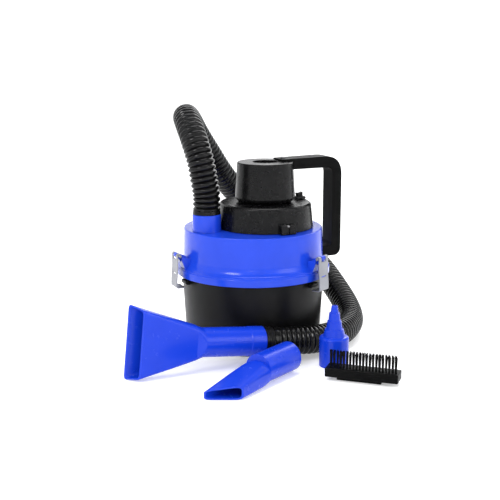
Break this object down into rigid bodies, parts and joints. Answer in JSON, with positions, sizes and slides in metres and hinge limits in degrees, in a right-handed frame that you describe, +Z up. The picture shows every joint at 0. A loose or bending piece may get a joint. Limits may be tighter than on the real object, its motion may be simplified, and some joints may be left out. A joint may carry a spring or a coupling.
{
  "type": "shop vacuum",
  "caption": "Small canister wet and dry vacuum: round bucket, clip-on blue lid with motor tower and strap handle, ribbed hose with a wide nozzle, and loose crevice, cone and brush tools.",
  "frame": {"origin": "middle of the bucket's flat underside, on the floor", "axes": "+Z up, -Y to the front, +X to the right, where the handle is"},
  "size_m": [0.3305, 0.4372, 0.3132],
  "materials": {
    "blue_gloss": "glossy moulded plastic",
    "blue_tool": "smooth moulded plastic, a little less glossy",
    "black_satin": "satin moulded plastic",
    "black_matte": "matte moulded plastic",
    "hose_black": "satin flexible plastic, corrugated",
    "bristle_black": "matte filaments",
    "rubber_dark": "matte rubber",
    "latch_steel": "bright sheet steel",
    "plain_steel": "plain steel",
    "copper": "bare copper",
    "magnet_grey": "dull grey",
    "filter_cloth": "off-white filter cloth",
    "float_white": "plain white plastic",
    "wire_red": "wire insulation",
    "wire_black": "wire insulation"
  },
  "bodies": {
    "canister": {"bucket": "black_satin"},
    "lid": {"bearing_lower": "plain_steel", "bearing_upper": "plain_steel", "blower_grille": "black_matte", "cable_gland": "rubber_dark", "cage_flange": "black_matte", "carbon_brush_left": "magnet_grey", "carbon_brush_right": "magnet_grey", "fan_plate": "black_matte", "filter_band": "rubber_dark", "filter_cage": "black_matte", "filter_sleeve": "filter_cloth", "handle": "black_satin", "handle_screw_foot": "plain_steel", "handle_screw_top": "plain_steel", "hose_cuff_nozzle": "black_satin", "hose_cuff_port": "black_satin", "housing_screw_1": "plain_steel", "housing_screw_2": "plain_steel", "housing_screw_3": "plain_steel", "inlet_deflector": "black_matte", "inlet_port": "blue_gloss", "latch_pin_back": "plain_steel", "latch_pin_left": "plain_steel", "latch_pin_right": "plain_steel", "lid_shell": "blue_gloss", "magnet_left": "magnet_grey", "magnet_right": "magnet_grey", "motor_bracket": "black_matte", "motor_can": "plain_steel", "motor_end_bell": "black_matte", "motor_housing": "black_satin", "motor_lead_a": "wire_red", "motor_lead_b": "wire_black", "rim_gasket": "rubber_dark", "suction_hose": "hose_black", "switch_bezel": "black_matte", "switch_body": "black_matte", "top_cap": "black_satin"},
    "latch_right": {"latch_clip_right": "latch_steel"},
    "latch_left": {"latch_clip_left": "latch_steel"},
    "latch_back": {"latch_clip_back": "latch_steel"},
    "rocker": {"switch_rocker": "black_satin"},
    "rotor": {"rotor_shaft": "plain_steel", "armature": "plain_steel", "commutator": "copper", "impeller": "black_matte", "impeller_nut": "plain_steel"},
    "float": {"float_cup": "float_white"},
    "wide_nozzle_body": {"wide_nozzle": "blue_tool"},
    "crevice_tool_body": {"crevice_tool": "blue_tool"},
    "cone_adaptor_body": {"cone_adaptor": "blue_tool"},
    "brush_body": {"brush_base": "black_satin", "brush_bristles": "bristle_black"}
  },
  "joints": [
    {"name": "lid_lift", "type": "slide", "parent": "canister", "child": "lid", "axis": [0, 0, 1], "range_m": [0, 0.03]},
    {"name": "latch_right_swing", "type": "hinge", "parent": "lid", "child": "latch_right", "pos_m": [0.08778, -0.06377, 0.125], "axis": [-0.5878, -0.809, 0], "range_deg": [0, 110]},
    {"name": "latch_left_swing", "type": "hinge", "parent": "lid", "child": "latch_left", "pos_m": [-0.09912, -0.04413, 0.125], "axis": [-0.4067, 0.9135, 0], "range_deg": [0, 110]},
    {"name": "latch_back_swing", "type": "hinge", "parent": "lid", "child": "latch_back", "pos_m": [0.01134, 0.10791, 0.125], "axis": [0.9945, -0.1045, 0], "range_deg": [0, 110]},
    {"name": "switch_rock", "type": "hinge", "parent": "lid", "child": "rocker", "pos_m": [0.06233, 0.02361, 0.1925], "axis": [-0.454, 0.891, 0], "range_deg": [0, 14]},
    {"name": "motor_spin", "type": "hinge", "parent": "lid", "child": "rotor", "pos_m": [0.016, 0, 0.19], "axis": [0, 0, 1], "continuous": true},
    {"name": "float_rise", "type": "slide", "parent": "lid", "child": "float", "axis": [0, 0, 1], "range_m": [0, 0.047]},
    {"name": "nozzle_pull", "type": "slide", "parent": "lid", "child": "wide_nozzle_body", "axis": [-0.9183, -0.3841, 0.0959], "range_m": [0, 0.06]},
    {"name": "crevice_tool_lift", "type": "slide", "parent": "canister", "child": "crevice_tool_body", "axis": [0, 0, 1], "range_m": [0, 0.1]},
    {"name": "cone_adaptor_lift", "type": "slide", "parent": "canister", "child": "cone_adaptor_body", "axis": [0, 0, 1], "range_m": [0, 0.1]},
    {"name": "brush_lift", "type": "slide", "parent": "canister", "child": "brush_body", "axis": [0, 0, 1], "range_m": [0, 0.1]}
  ]
}
